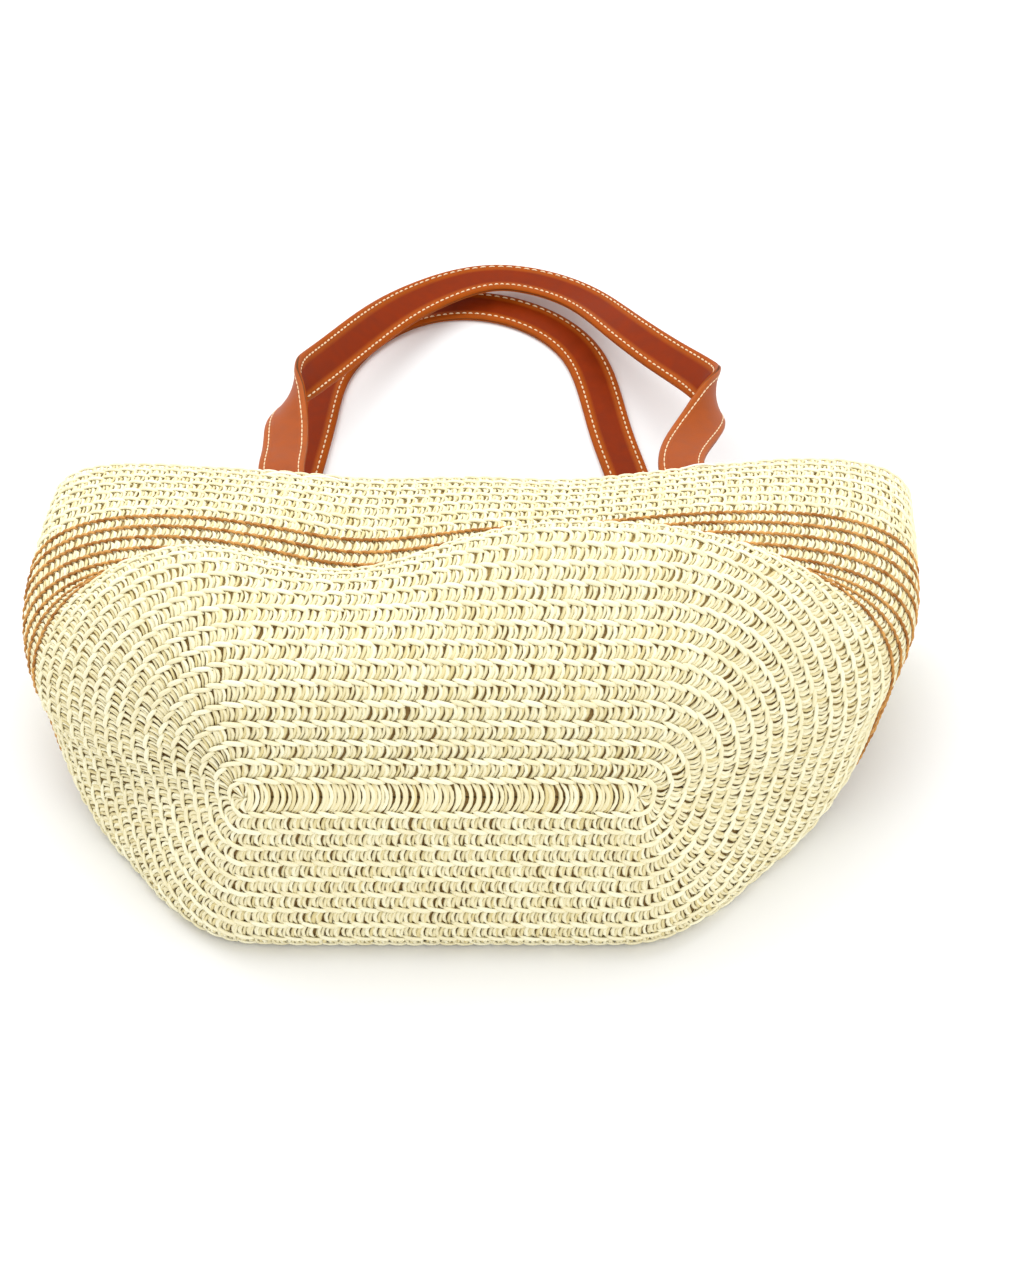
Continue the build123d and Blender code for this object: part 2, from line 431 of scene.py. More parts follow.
@dataclass(frozen=True)
class Strand:
    """A flattened, tapered strand that bends through three places on its carrier.

    Each place is millimetres along, across and above the carrier.
    """

    start: tuple[float, float, float]
    middle: tuple[float, float, float]
    end: tuple[float, float, float]
    width: float
    thickness: float
    taper: float = 0.35
    stations: int = 6
    sides: int = 6

    def lay(
        self,
        patch: Patch,
        carrier: Carrier,
        starts: np.ndarray,
        rng: np.random.Generator,
        jitter: float = 0.0,
        tone: tuple[float, float] = (0.0, 1.0),
        finish: int = 0,
        mirror: float = 1.0,
    ) -> None:
        """Lays one strand at each start along the carrier.

        Args:
            patch: Where the strands go.
            carrier: The surface that carries them.
            starts: Millimetres along the carrier, one per strand.
            rng: Source of the small differences between strands.
            jitter: Size of those differences, in millimetres.
            tone: Lightest and darkest tone.
            finish: Which of the piece's finishes they take.
            mirror: Minus one lays them on the other side of the carrier's height.
        """
        count = len(starts)
        a = np.linspace(0, 1, self.stations)
        weights = np.stack([(1 - a) * (1 - 2 * a), 4 * a * (1 - a), a * (2 * a - 1)], 1)
        line = weights @ np.array([self.start, self.middle, self.end])
        heading = unit(np.gradient(line[:, :2], axis=0))
        aside = np.stack([-heading[:, 1], heading[:, 0]], 1)
        fullness = self.taper + (1 - self.taper) * np.sqrt(np.clip(1 - (2 * a - 1) ** 4, 0, 1))
        turn = 2 * np.pi * np.arange(self.sides) / self.sides
        spread = np.cos(turn)[None, :] * (fullness * self.width / 2)[:, None]
        lift = np.sin(turn)[None, :] * (fullness * self.thickness / 2)[:, None]
        size = 1 + jitter * 0.1 * rng.normal(size=(count, 1, 1))
        shift = jitter * rng.normal(size=(count, 3)) * np.array([0.35, 0.12, 0.1])
        along = line[:, None, 0] + aside[:, None, 0] * spread * size
        along = along + starts[:, None, None] + shift[:, 0, None, None]
        across = line[:, None, 1] + aside[:, None, 1] * spread * size + shift[:, 1, None, None]
        height = line[:, None, 2] + lift * size + shift[:, 2, None, None]
        points = carrier.carry(along, across, height * mirror)
        ring = grid_faces(self.stations, self.sides, closed=True)
        corners = np.arange(self.sides)
        caps = np.stack([corners[::-1], corners + (self.stations - 1) * self.sides])
        if mirror < 0:
            ring = ring[:, ::-1]
            caps = caps[:, ::-1]
        base = np.arange(count)[:, None, None] * self.stations * self.sides
        tones = np.repeat(rng.uniform(*tone, size=count), self.stations * self.sides)
        length = np.hypot(*(np.array(self.end[:2]) - np.array(self.start[:2])))
        marks = np.stack(np.broadcast_arrays(a[:, None] * length, spread), -1)[None]
        offset = rng.uniform(0, 400, size=(count, 1, 1, 2))
        patch.add(points, [ring[None] + base, caps[None] + base], marks + offset, tones, finish)


# ---------------------------------------------------------------- the bag's shape
@dataclass(frozen=True)
class BagSizes:
    """Sizes of the coil, in millimetres, and the angles that its wall takes, in degrees."""

    strip_half: float = 95.0
    corner: float = 98.0
    row: float = 9.7
    rows: int = 31
    strip_y: float = 12.0
    strip_z: float = 97.8
    swell_width: float = 79.5
    skew: float = 0.0904
    flat_start: float = 0.43
    # Slope of the front wall, by distance from the strip.
    front: tuple = (
        (0, 12, 30, 70, 105, 135, 165, 200, 240, 301),
        (58, 60, 63.9, 31.6, 20, -19.2, -72.1, -8.3, -12.6, -31.5),
    )
    back: tuple = ((0, 12, 40, 75, 92, 112, 301), (-118, -103, -100.8, -100.4, -60, 0, 0))
    ends_out: tuple = ((0, 60, 120, 170, 235, 301), (37.1, 34.2, 40.2, 65.9, 89.4, 86.2))
    ends_up: tuple = ((0, 60, 120, 170, 235, 301), (-20.9, -17.7, -9.0, 15.4, 9.3, -8.5))
    # Each sag or swell of the front wall: where it is across the bag, and its slopes.
    waves: tuple = ((-60.0, (-34.5, 3.0, 12.3)), (35.0, (21.7, -15.9, -6.2)), (-155.0, (15.1, -5.7, -7.1)))


class BagShape:
    """The wall's outer surface, by the way around it and the distance from the strip."""

    stations = 961

    def __init__(self, sizes: BagSizes) -> None:
        """Walks the wall outwards from the strip along every meridian at once."""
        self.sizes = sizes
        self.reach = sizes.rows * sizes.row
        v = np.arange(0.0, self.reach + 1.5, 1.0)
        base_x, turn = self.meridians()
        wide = base_x + 1.25 * sizes.corner * np.cos(turn)
        front = np.maximum(np.sin(turn), 0)[:, None]
        back = np.maximum(-np.sin(turn), 0)[:, None]
        side = np.cos(turn)[:, None]
        slope_front = np.broadcast_to(Profile(*sizes.front)(v), (self.stations, len(v))).copy()
        for middle, slopes in sizes.waves:
            near = np.exp(-(((wide - middle) / sizes.swell_width) ** 2))[:, None]
            slope_front += near * Profile((60, 120, 165, 240, 301), (0, *slopes, 0))(v)[None]
        slope_back = Profile(*sizes.back)(v[None] * back**sizes.flat_start)
        out = np.radians(Profile(*sizes.ends_out)(v))[None]
        up = np.radians(Profile(*sizes.ends_up)(v))[None]
        ahead = np.radians(slope_front)
        behind = np.radians(slope_back)
        step = np.stack(
            [
                side * np.cos(out) + 0 * ahead,
                front**2 * np.cos(ahead) + back**2 * np.cos(behind) + side**2 * np.sin(out),
                front * np.sin(ahead) + back * np.sin(behind) + side**2 * np.sin(up),
            ],
            -1,
        )
        step = unit(step)
        walk = np.cumsum((step[:, 1:] + step[:, :-1]) / 2, axis=1)
        points = np.concatenate([np.zeros((self.stations, 1, 3)), walk], axis=1)
        points += np.stack([base_x, 0 * base_x + sizes.strip_y, 0 * base_x + sizes.strip_z], -1)[:, None]
        points = self.fill_corners(points, back, side, v)
        points[..., 0] += sizes.skew * (points[..., 1] - 120)
        points = self.round_mouth(points, turn, v)
        self.points = points
        self.points[..., 2] = np.maximum(self.points[..., 2], GROUND)
        around = np.gradient(points, axis=0)
        around[0] = around[-1] = points[1] - points[-2]
        away = np.gradient(points, axis=1)
        normals = unit(np.cross(around, away))
        normals[:, :3] = normals[:, 3:4]
        self.normals = normals

    def meridians(self) -> tuple[np.ndarray, np.ndarray]:
        """Foot of each meridian on the strip and the way that it leaves, by even steps around.

        Returns:
            Feet in millimetres along the strip, and ways in radians.
        """
        half = self.sizes.strip_half
        bend = math.pi * self.sizes.corner
        s = np.linspace(0, 4 * half + 2 * bend, self.stations)
        ends = [s < half, s < half + bend, s < 3 * half + bend, s < 3 * half + 2 * bend]
        feet = [s, half + 0 * s, 2 * half + bend - s, -half + 0 * s]
        foot = np.select(ends, feet, s - 4 * half - 2 * bend)
        right = math.pi / 2 - (s - half) / self.sizes.corner
        left = -math.pi / 2 - (s - 3 * half - bend) / self.sizes.corner
        turn = np.select(ends, [math.pi / 2 + 0 * s, right, -math.pi / 2 + 0 * s, left], math.pi / 2)
        return foot, turn

    def fill_corners(
        self, points: np.ndarray, back: np.ndarray, side: np.ndarray, v: np.ndarray
    ) -> np.ndarray:
        """Fills out the two lower corners, where the soft base spreads on the ground.

        Args:
            points: The wall so far.
            back: How far each meridian turns to the back.
            side: How far each meridian turns to the right, negative to the left.
            v: Distances from the strip.

        Returns:
            The wall with its corners moved outwards and towards the base.
        """
        share = np.minimum(2 * back * np.abs(side), 1)
        spread = Profile((0, 40, 90, 125, 170, 301), (0, 0.2, 1, 0.8, 0, 0))(v)[None] * share
        tuck = Profile((0, 120, 165, 200, 301), (0, 0, 0.6, 1, 1))(v)[None] * share
        points[..., 0] += np.sign(side) * (4.0 * spread - 8.0 * tuck)
        recede = Profile((0, 40, 90, 180, 301), (0, 0.1, 1, 0.8, 0.1))(v)[None] * np.sqrt(back)
        left = np.clip((-points[..., 0] - 70) / 70, 0, 1.3)
        right = np.clip((points[..., 0] - 80) / 60, 0, 1.3)
        points[..., 1] += recede * (8.0 * left**2 + 8.0 * right**2)
        return points

    def round_mouth(self, points: np.ndarray, turn: np.ndarray, v: np.ndarray) -> np.ndarray:
        """Lets the two upper corners of the mouth fall in, where the rim turns down.

        Args:
            points: The wall so far.
            turn: The way that each meridian leaves the strip, in radians.
            v: Distances from the strip.

        Returns:
            The wall with rounder upper corners.
        """
        ease = Profile((0, 190, 260, 301), (0, 0, 0.5, 1))(v)[None]
        right = np.exp(-(((turn - math.radians(6)) / math.radians(30)) ** 2))[:, None] * ease
        past = (turn + math.radians(186) + math.pi) % (2 * math.pi) - math.pi
        left = np.exp(-((past / math.radians(30)) ** 2))[:, None] * ease
        points[..., 0] += -8.0 * right + 3.0 * left
        points[..., 1] += -2.0 * right
        points[..., 2] += -8.0 * right - 3.0 * left
        return points

    def at(self, u: np.ndarray, v: np.ndarray, height: np.ndarray) -> np.ndarray:
        """Points above the wall, blended between the four nearest stations.

        Args:
            u: Share of the way around, from 0 to 1 and beyond.
            v: Distance from the strip, in millimetres.
            height: Height above the surface, in millimetres.

        Returns:
            Points in space, in millimetres.
        """
        u, v, height = np.broadcast_arrays(u, v, height)
        x = (u % 1.0) * (self.stations - 1)
        i = np.minimum(x.astype(int), self.stations - 2)
        y = np.clip(v, 0, self.points.shape[1] - 1.001)
        j = y.astype(int)
        fx = (x - i)[..., None]
        fy = (y - j)[..., None]
        place = np.zeros((*u.shape, 3))
        normal = np.zeros((*u.shape, 3))
        for di, wi in ((0, 1 - fx), (1, fx)):
            for dj, wj in ((0, 1 - fy), (1, fy)):
                place += wi * wj * self.points[i + di, j + dj]
                normal += wi * wj * self.normals[i + di, j + dj]
        over = (v - y)[..., None]
        away = self.points[i, -1] - self.points[i, -2]
        return place + unit(normal) * height[..., None] + away * over

    def find(self, x: float, front: bool, v: float) -> float:
        """Share of the way around at which the wall passes a given x.

        Args:
            x: Millimetres to the right.
            front: True for the upper wall, False for the wall on the ground.
            v: Distance from the strip.

        Returns:
            The share of the way around.
        """
        line = self.points[:, int(v)]
        share = np.linspace(0, 1, self.stations)
        upper = np.abs(((share + 0.25) % 1.0) - 0.25) < 0.24
        fits = upper if front else ~upper
        return float(share[np.argmin(np.abs(line[:, 0] - x) + np.where(fits, 0, 1e6))])


class Spine:
    """The strip at the middle of the base, as a carrier: along it, and across it both ways."""

    def __init__(self, shape: BagShape) -> None:
        """Keeps the surface."""
        self.shape = shape

    def carry(self, along: np.ndarray, across: np.ndarray, height: np.ndarray) -> np.ndarray:
        """Points of the strip in space, in millimetres.

        Args:
            along: Millimetres along it.
            across: Millimetres across it.
            height: Millimetres above it.

        Returns:
            Points in space, in millimetres.
        """
        half = self.shape.sizes.strip_half
        bend = math.pi * self.shape.sizes.corner
        along = np.clip(along, -half, half)
        around = np.where(across >= 0, along, 2 * half + bend - along)
        return self.shape.at(around / (4 * half + 2 * bend), np.abs(across), height)


class Row:
    """One row of plait, as a carrier: along it, across it from its inner edge, and above it."""

    def __init__(self, shape: BagShape, number: int) -> None:
        """Measures the row's length so that strands keep their real spacing.

        Args:
            shape: The bag's surface.
            number: The row's number from the strip.
        """
        self.shape = shape
        self.start = number * shape.sizes.row
        line = shape.points[:, int(self.start + 0.6 * shape.sizes.row)]
        walk = np.linalg.norm(np.diff(line, axis=0), axis=1)
        self.walked = np.concatenate([[0], np.cumsum(walk)])
        self.length = float(self.walked[-1])

    def beyond_strip(self, along: np.ndarray) -> np.ndarray:
        """Which places lie on the turns at the strip's ends.

        Args:
            along: Millimetres along it.

        Returns:
            True for each place on a turn.
        """
        share = np.interp(along % self.length, self.walked, np.linspace(0, 1, len(self.walked)))
        half = self.shape.sizes.strip_half
        whole = 4 * half + 2 * math.pi * self.shape.sizes.corner
        around = np.abs(((share * whole + whole / 4) % (whole / 2)) - whole / 4)
        return around > half - 3.0

    def carry(self, along: np.ndarray, across: np.ndarray, height: np.ndarray) -> np.ndarray:
        """Points of the row in space, in millimetres."""
        share = np.interp(along % self.length, self.walked, np.linspace(0, 1, len(self.walked)))
        return self.shape.at(share, np.maximum(self.start + across, 0.0), height)


class Lifted:
    """A carrier moved across and above another one."""

    def __init__(self, carrier: Carrier, across: float, height: float) -> None:
        """Keeps the carrier and how far it is moved, in millimetres."""
        self.carrier = carrier
        self.across = across
        self.height = height

    def carry(self, along: np.ndarray, across: np.ndarray, height: np.ndarray) -> np.ndarray:
        """Points in space, in millimetres."""
        return self.carrier.carry(along, across + self.across, height + self.height)


# ---------------------------------------------------------------- straw
@dataclass(frozen=True)
class PlaitSizes:
    """Strands of the plait, in millimetres along, across and above a row."""

    rib_pitch: float = 1.97
    pair: float = 1.9
    lip_pitch: float = 8.4
    cord_pitch: float = 3.9
    wall: float = 2.6
    rib: Strand = Strand((-2.3, -0.9, -0.1), (0.9, 3.4, 1.3), (-0.7, 8.3, 1.35), 2.15, 1.5, 0.4, 5, 4)
    second: Strand = Strand((-2.0, -0.9, -0.35), (0.7, 3.8, 0.95), (0.7, 8.3, 1.25), 2.1, 1.45, 0.4, 5, 4)
    lip: Strand = Strand((6.2, 7.3, 1.0), (0.3, 8.7, 2.2), (-6.0, 10.1, 1.1), 2.8, 1.9, 0.3, 6, 5)
    cord: Strand = Strand((3.0, 8.7, 1.1), (0.0, 9.3, 2.3), (-3.0, 9.9, 1.1), 1.75, 1.6, 0.4, 5, 5)
    bar: Strand = Strand((-2.4, -8.1, 0.9), (1.9, 0.2, 1.5), (-2.2, 8.1, 0.9), 2.2, 1.5, 0.4, 7, 5)
    second_bar: Strand = Strand((-2.0, -8.1, 0.7), (1.2, -0.8, 1.1), (-0.9, 8.1, 0.8), 2.1, 1.5, 0.4, 7, 5)


class StrawBody:
    """The coil: centre strip, base, plain wall, eight two-coloured rows and the rim."""

    zones = {
        "centre_strip": (0, 1),
        "base_coil": (1, 10),
        "lower_wall_coil": (10, 16),
        "upper_wall_coil": (24, 30),
        "rim_row": (30, 31),
    }
    first_stripe = 16
    stripes = 8

    def __init__(self, shape: BagShape, sizes: PlaitSizes) -> None:
        """Keeps the surface and the strands' sizes."""
        self.shape = shape
        self.sizes = sizes
        self.rng = np.random.default_rng(SEED)

    def plait_row(
        self, patch: Patch, number: int, cord: bool = False, mirror: float = 1.0, depth: float = 0.0
    ) -> None:
        """Lays the ribs and the sewn edge of one row.

        Args:
            patch: Where the strands go.
            number: The row's number from the strip.
            cord: Whether the row carries a brown cord along its edge.
            mirror: Minus one lays the row on the wall's inside.
            depth: How far inside the surface the row lies.
        """
        row = Row(self.shape, number)
        sizes = self.sizes
        carrier = row if depth == 0 else Lifted(row, 0.0, -depth)
        ribs = self.spaced(row, sizes.rib_pitch * 2)
        lips = self.spaced(row, sizes.lip_pitch)
        if number == 0:
            ribs = ribs[row.beyond_strip(ribs)]
            bars = np.arange(-94.0, 94.0, sizes.rib_pitch * 2)
            sizes.bar.lay(patch, Spine(self.shape), bars, self.rng, 1.2, (0.1, 0.6))
            sizes.second_bar.lay(patch, Spine(self.shape), bars + sizes.pair, self.rng, 1.2, (0.3, 1.0))
        sizes.rib.lay(patch, carrier, ribs, self.rng, 1.1, (0.0, 0.5), 0, mirror)
        sizes.second.lay(patch, carrier, ribs + sizes.pair, self.rng, 1.1, (0.3, 0.95), 0, mirror)
        if cord:
            cords = self.spaced(row, sizes.cord_pitch)
            sizes.cord.lay(patch, carrier, cords, self.rng, 0.3, (0.0, 1.0), 1, mirror)
        else:
            sizes.lip.lay(patch, carrier, lips, self.rng, 0.6, (0.0, 0.45), 0, mirror)

    def spaced(self, row: "Row", pitch: float) -> np.ndarray:
        """Even places along a row, as near to a pitch as fits it in whole numbers."""
        count = max(round(row.length / pitch), 8)
        return np.arange(count) * row.length / count

    def ground(self, material: bpy.types.Material) -> bpy.types.Object:
        """The plait's inner body, seen only between its strands, coloured dark brown as painted shade.

        Args:
            material: Its finish.

        Returns:
            The piece.
        """
        around = 360
        u = np.linspace(0, 1, around, endpoint=False)[None, :]
        v = np.linspace(0.4, self.shape.reach - 1.6, 76)[:, None]
        patch = Patch()
        outer = self.shape.at(u, v, -0.1)
        inner = self.shape.at(u, v, -self.sizes.wall)[::-1]
        points = np.concatenate([outer, inner])
        faces = grid_faces(len(points), around, closed=True)
        marks = np.stack(np.broadcast_arrays(u * 1060, np.concatenate([v, v[::-1]])), -1)
        # Painted shade: the ground is darkest on the base and lightens up the wall, where more light falls.
        depth = np.clip(1 - (np.concatenate([v, v[::-1]]) - 75) / 60, 0.1, 0.8)
        tones = np.broadcast_to(depth, points.shape[:2])
        patch.add(points, [faces], marks, tones)
        piece = patch.build("plait_ground", material)
        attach(piece, "bag")
        return piece

    def build(
        self, straw: bpy.types.Material, brown: bpy.types.Material, shade: bpy.types.Material
    ) -> None:
        """Builds every zone of the coil and gives it its finish.

        Args:
            straw: Cream paper straw.
            brown: The cords of the two-coloured rows.
            shade: Dark brown painted shade for the plait's inner body.
        """
        self.ground(shade)
        zones = dict(self.zones)
        for number in range(self.stripes):
            zones[f"stripe_row_{number + 1}"] = (self.first_stripe + number, self.first_stripe + number + 1)
        for node, (first, last) in zones.items():
            patch = Patch()
            striped = node.startswith("stripe")
            for number in range(first, last):
                self.plait_row(patch, number, cord=striped)
            if node == "rim_row":
                self.plait_row(patch, last - 1, mirror=Side.INSIDE.value, depth=self.sizes.wall)
            piece = patch.build(f"plait_{node}", straw, brown)
            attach(piece, "bag")
            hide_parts(node)
            LOG.info("%s has %d points", piece.name, patch.count)


# ---------------------------------------------------------------- lining and pocket
@dataclass(frozen=True)
class LiningSizes:
    """Sizes of the cotton lining and its pocket, in millimetres."""

    inset: float = 10.5
    end: float = 290.0
    corner_at: float = 0.241
    fold: float = 1.3
    cloth: float = 0.6
    pocket_start: float = 175.0
    pocket_end: float = 272.0
    pocket_half: float = 88.0
    around: float = 1030.0
    corner_width: float = 0.036
    corner_pull: float = 6.7


class Lining:
    """The loose cotton lining and the patch pocket sewn to it."""

    def __init__(self, shape: BagShape, sizes: LiningSizes) -> None:
        """Keeps the surface and the cloth's sizes."""
        self.shape = shape
        self.sizes = sizes

    def slack(self, u: np.ndarray, v: np.ndarray) -> np.ndarray:
        """Soft folds: three crossing waves, stilled towards the sewn edge.

        Args:
            u: Share of the way around.
            v: Distance from the strip, in millimetres.

        Returns:
            How far the folds stand inwards, in millimetres.
        """
        folds = np.sin(2 * np.pi * 23 * u + 1.3 * np.sin(v / 31))
        folds = folds + 0.6 * np.sin(2 * np.pi * 11 * u + v / 23)
        folds = folds + 0.5 * np.sin(v / 11 + 2.2 * np.sin(2 * np.pi * 5 * u))
        still = np.clip((self.sizes.end - v) / 40, 0, 1) * np.clip(v / 40, 0, 1)
        return self.sizes.fold * folds * still

    def depth(self, u: np.ndarray, v: np.ndarray) -> np.ndarray:
        """Depth of the cloth inside the wall, less where it is pulled into the mouth's corners.

        Args:
            u: Share of the way around.
            v: Distance from the strip, in millimetres.

        Returns:
            Depth in millimetres.
        """
        aside = np.abs(((u + 0.5) % 1.0) - 0.5) - self.sizes.corner_at
        near = np.exp(-((aside / self.sizes.corner_width) ** 2))
        return self.sizes.inset - self.sizes.corner_pull * near * np.clip((v - 200) / 80, 0, 1)

    def build(self, cloth: bpy.types.Material) -> None:
        """Builds the lining and the pocket.

        Args:
            cloth: Finish of the cotton.
        """
        around = 420
        u = np.linspace(0, 1, around, endpoint=False)[None, :]
        v = np.linspace(0.5, self.sizes.end, 100)[:, None]
        patch = Patch()
        points = self.shape.at(u, v, -self.depth(u, v) - self.slack(u, v))
        marks = np.stack(np.broadcast_arrays(u * self.sizes.around, v), -1)
        patch.add(points, [grid_faces(100, around, closed=True)], marks)
        lining = patch.build("cotton_lining", cloth)
        self.thicken(lining)
        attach(lining, "bag")
        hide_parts("lining_base", "lining_wall")
        self.pocket(cloth)

    def pocket(self, cloth: bpy.types.Material) -> None:
        """Builds the patch pocket, sewn to the lining on three sides.

        Args:
            cloth: Finish of the cotton.
        """
        sizes = self.sizes
        left = self.shape.find(-sizes.pocket_half + 5, False, 230)
        right = self.shape.find(sizes.pocket_half + 5, False, 230)
        a = np.linspace(0, 1, 60)[None, :]
        b = np.linspace(0, 1, 34)[:, None]
        u = left + (right - left) * a
        v = sizes.pocket_start + (sizes.pocket_end - sizes.pocket_start) * b
        lift = 1.1 + 2.4 * np.sin(np.pi * a) ** 2 * b**2
        patch = Patch()
        points = self.shape.at(u, v, -sizes.inset - self.slack(u, v) - lift)
        marks = np.stack(np.broadcast_arrays(a * 180, v), -1)
        faces = grid_faces(34, 60)
        patch.add(points, [faces[:, ::-1] if left > right else faces], marks)
        pocket = patch.build("patch_pocket", cloth)
        self.thicken(pocket)
        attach(pocket, "bag")
        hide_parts("inner_pocket")

    def thicken(self, piece: bpy.types.Object) -> None:
        """Gives a sheet its cloth's thickness.

        Args:
            piece: The sheet.
        """
        solid = piece.modifiers.new("cloth", "SOLIDIFY")
        solid.thickness = self.sizes.cloth * MM
        solid.offset = 0.0


# ---------------------------------------------------------------- handles
@dataclass(frozen=True)
class StrapSizes:
    """Cross-section and stitching of a strap, in millimetres."""

    width: float = 25.0
    half: float = 0.4
    face: float = 1.15
    roll: float = 0.65
    roll_at: float = 9.6
    seam: float = 9.3
    stitch_pitch: float = 4.5
    bend: float = 24.0
    inner_stitch: Strand = Strand(
        (-1.5, 0.0, 0.0), (0.0, 0.0, 0.32), (1.5, 0.0, 0.0), 0.95, 0.75, 0.5, 5, 6
    )
    outer_stitch: Strand = Strand(
        (-1.95, 0.0, 0.0), (0.0, 0.0, 0.22), (1.95, 0.0, 0.0), 0.7, 0.6, 0.5, 5, 6
    )


class Ribbon:
    """A strap's middle surface, as a carrier: along it, across it, and above its outer side."""

    steps = 400

    def __init__(self, route: np.ndarray, turns: Profile, sewn: float) -> None:
        """Carries a smooth line through the route and turns the strap about it.

        Args:
            route: Places the strap's middle passes through.
            turns: Turn in degrees by the share of the strap's free length.
            sewn: Length of each sewn-in end.
        """
        chord = np.concatenate([[0], np.cumsum(np.linalg.norm(np.diff(route, axis=0), axis=1))])
        line = np.stack([self.smooth(chord, route[:, k]) for k in range(3)], 1)
        walk = np.concatenate([[0], np.cumsum(np.linalg.norm(np.diff(line, axis=0), axis=1))])
        self.length = float(walk[-1])
        self.sewn = sewn
        s = np.linspace(0, self.length, self.steps)
        self.s = s
        self.middle = np.stack([np.interp(s, walk, line[:, k]) for k in range(3)], 1)
        forward = unit(np.gradient(self.middle, axis=0))
        up = np.array([0.0, 0.0, 1.0]) - forward * forward[:, 2:3]
        side = np.cross(unit(up), forward)
        share = np.clip((s - sewn) / (self.length - 2 * sewn), 0, 1)
        turn = np.radians(turns(share))[:, None]
        self.side = unit(side * np.cos(turn) + np.cross(forward, side) * np.sin(turn))
        self.out = np.cross(forward, self.side)

    def smooth(self, chord: np.ndarray, values: np.ndarray) -> np.ndarray:
        """Natural cubic curve through values at their chord lengths, at 2000 even steps.

        Args:
            chord: Distance along the route at each of its places.
            values: One value for each place.

        Returns:
            The values along the curve.
        """
        step = np.diff(chord)
        count = len(values)
        left = np.eye(count)
        right = np.zeros(count)
        inner = np.arange(1, count - 1)
        left[inner, inner - 1] = step[:-1]
        left[inner, inner] = 2 * (step[:-1] + step[1:])
        left[inner, inner + 1] = step[1:]
        slope = np.diff(values) / step
        right[1:-1] = 6 * np.diff(slope)
        bend = np.linalg.solve(left, right)
        x = np.linspace(0, chord[-1], 2000)
        i = np.clip(np.searchsorted(chord, x) - 1, 0, count - 2)
        a = (chord[i + 1] - x) / step[i]
        b = 1 - a
        cubic = ((a**3 - a) * bend[i] + (b**3 - b) * bend[i + 1]) * step[i] ** 2 / 6
        return a * values[i] + b * values[i + 1] + cubic

    def carry(self, along: np.ndarray, across: np.ndarray, height: np.ndarray) -> np.ndarray:
        """Points of the strap in space, in millimetres.

        Args:
            along: Millimetres along it.
            across: Millimetres across it.
            height: Millimetres above it.

        Returns:
            Points in space, in millimetres.
        """
        along, across, height = np.broadcast_arrays(along, across, height)
        frames = [
            np.stack([np.interp(along, self.s, table[:, k]) for k in range(3)], -1)
            for table in (self.middle, self.side, self.out)
        ]
        return frames[0] + frames[1] * across[..., None] + frames[2] * height[..., None]


